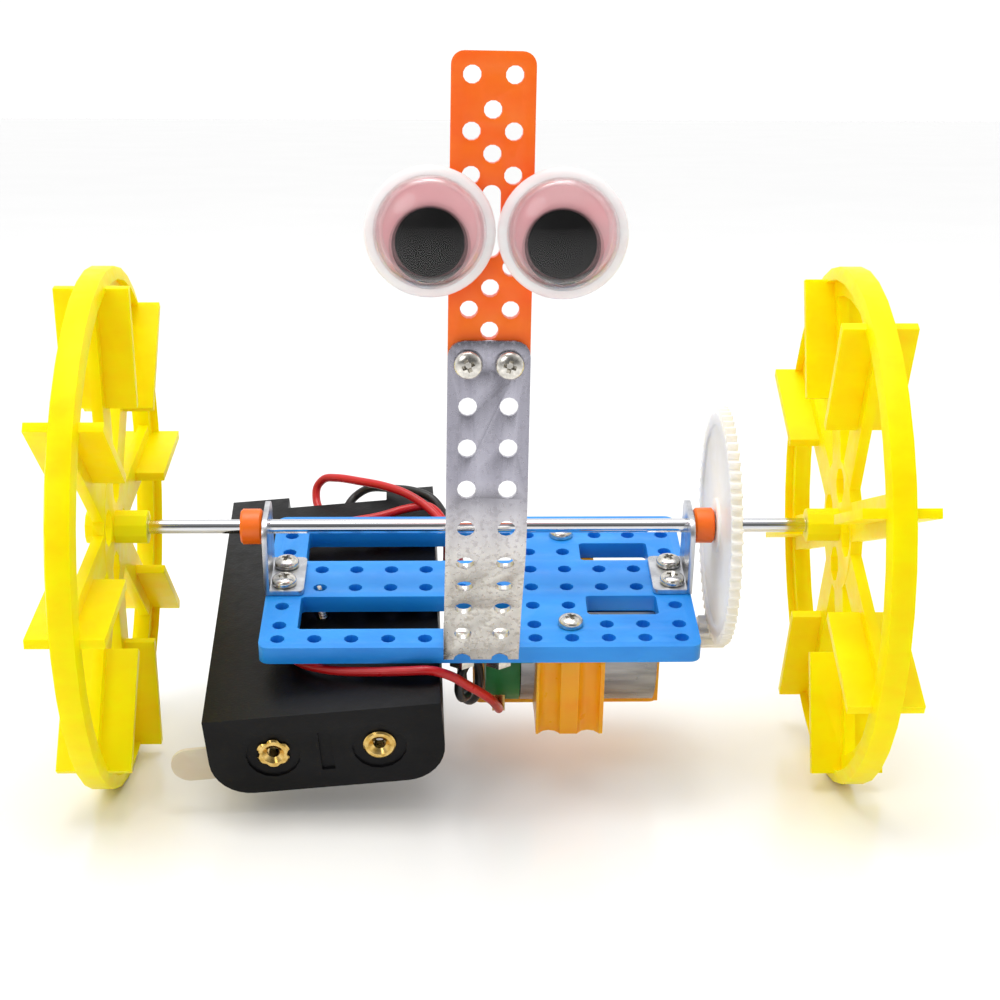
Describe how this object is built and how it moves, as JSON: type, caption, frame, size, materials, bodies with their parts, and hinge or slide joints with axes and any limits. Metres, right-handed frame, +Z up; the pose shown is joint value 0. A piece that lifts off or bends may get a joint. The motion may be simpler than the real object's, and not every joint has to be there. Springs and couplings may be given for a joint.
{
  "type": "two wheel robot car",
  "caption": "Toy robot car on two paddle wheels: a perforated plate slung from one axle, with a geared motor, battery holder and wobbly-eyed head on a bent metal neck.",
  "frame": {"origin": "on the floor, midway between the wheels, under the middle of the car from front to back", "axes": "+X along the axle towards the geared side, +Y to the back (the eyes look towards -Y), +Z up"},
  "size_m": [0.1134, 0.0762, 0.1015],
  "materials": {
    "blue_plastic": "moulded satin",
    "zinc_steel": "zinc plated",
    "screw_steel": "nickel plated",
    "orange_plastic": "moulded satin",
    "pink_card": "matt",
    "clear_plastic": "clear gloss",
    "black_disc": "satin",
    "nylon": "moulded satin",
    "chrome_rod": "polished",
    "copper": "enamelled copper wire",
    "green_plastic": "moulded matt",
    "brass": "plain",
    "ferrite": "matt",
    "amber_plastic": "translucent gloss",
    "black_plastic": "moulded satin",
    "spring_steel": "nickel plated",
    "tan_film": "satin",
    "red_pvc": "satin",
    "black_pvc": "satin",
    "yellow_plastic": "translucent gloss"
  },
  "bodies": {
    "chassis": {"base_plate": "blue_plastic", "left_axle_bracket": "zinc_steel", "left_bracket_screw_front": "screw_steel", "left_bracket_screw_rear": "screw_steel", "right_axle_bracket": "zinc_steel", "right_bracket_screw_front": "screw_steel", "right_bracket_screw_rear": "screw_steel", "neck_strip": "zinc_steel", "left_neck_screw": "screw_steel", "left_neck_nut": "screw_steel", "right_neck_screw": "screw_steel", "right_neck_nut": "screw_steel", "head_strip": "orange_plastic", "left_head_screw": "screw_steel", "right_head_screw": "screw_steel", "left_eye_back": "pink_card", "left_eye_dome": "clear_plastic", "right_eye_back": "pink_card", "right_eye_dome": "clear_plastic", "motor_can": "zinc_steel", "motor_end_cap": "green_plastic", "front_brush_terminal": "brass", "rear_brush_terminal": "brass", "front_magnet": "ferrite", "rear_magnet": "ferrite", "motor_cradle": "amber_plastic", "front_cradle_screw": "screw_steel", "rear_cradle_screw": "screw_steel", "battery_holder": "black_plastic", "holder_screw": "screw_steel", "front_contact_plate": "spring_steel", "rear_left_contact": "spring_steel", "rear_right_contact": "spring_steel", "front_left_eyelet": "brass", "front_right_eyelet": "brass", "rear_left_eyelet": "brass", "rear_right_eyelet": "brass", "front_contact_spring": "spring_steel", "rear_contact_spring": "spring_steel", "battery_pull_tab": "tan_film", "red_wire": "red_pvc", "black_wire": "black_pvc"},
    "axle_set": {"axle": "chrome_rod", "left_wheel": "yellow_plastic", "right_wheel": "yellow_plastic", "left_collar": "orange_plastic", "right_collar": "orange_plastic", "drive_gear": "nylon"},
    "rotor": {"pinion": "nylon", "motor_shaft": "chrome_rod", "armature": "zinc_steel", "armature_winding_1": "copper", "armature_winding_2": "copper", "armature_winding_3": "copper", "commutator": "copper"},
    "left_pupil": {"left_pupil": "black_disc"},
    "right_pupil": {"right_pupil": "black_disc"}
  },
  "joints": [
    {"name": "axle_spin", "type": "hinge", "parent": "chassis", "child": "axle_set", "pos_m": [0, -0.00011, 0.03629], "axis": [1, 0, 0], "continuous": true},
    {"name": "rotor_spin", "type": "hinge", "parent": "chassis", "child": "rotor", "pos_m": [0.015, 0.00584, 0.01871], "axis": [1, 0, 0], "continuous": true},
    {"name": "left_pupil_swing", "type": "hinge", "parent": "chassis", "child": "left_pupil", "pos_m": [-0.00642, -0.03486, 0.08066], "axis": [0, -0.9998, -0.0174], "continuous": true},
    {"name": "right_pupil_swing", "type": "hinge", "parent": "chassis", "child": "right_pupil", "pos_m": [0.00928, -0.03486, 0.08044], "axis": [0, -0.9998, -0.0174], "continuous": true}
  ],
  "couplings": [
    {"joint": "rotor_spin", "follows": "axle_spin", "ratio": -8.25}
  ]
}
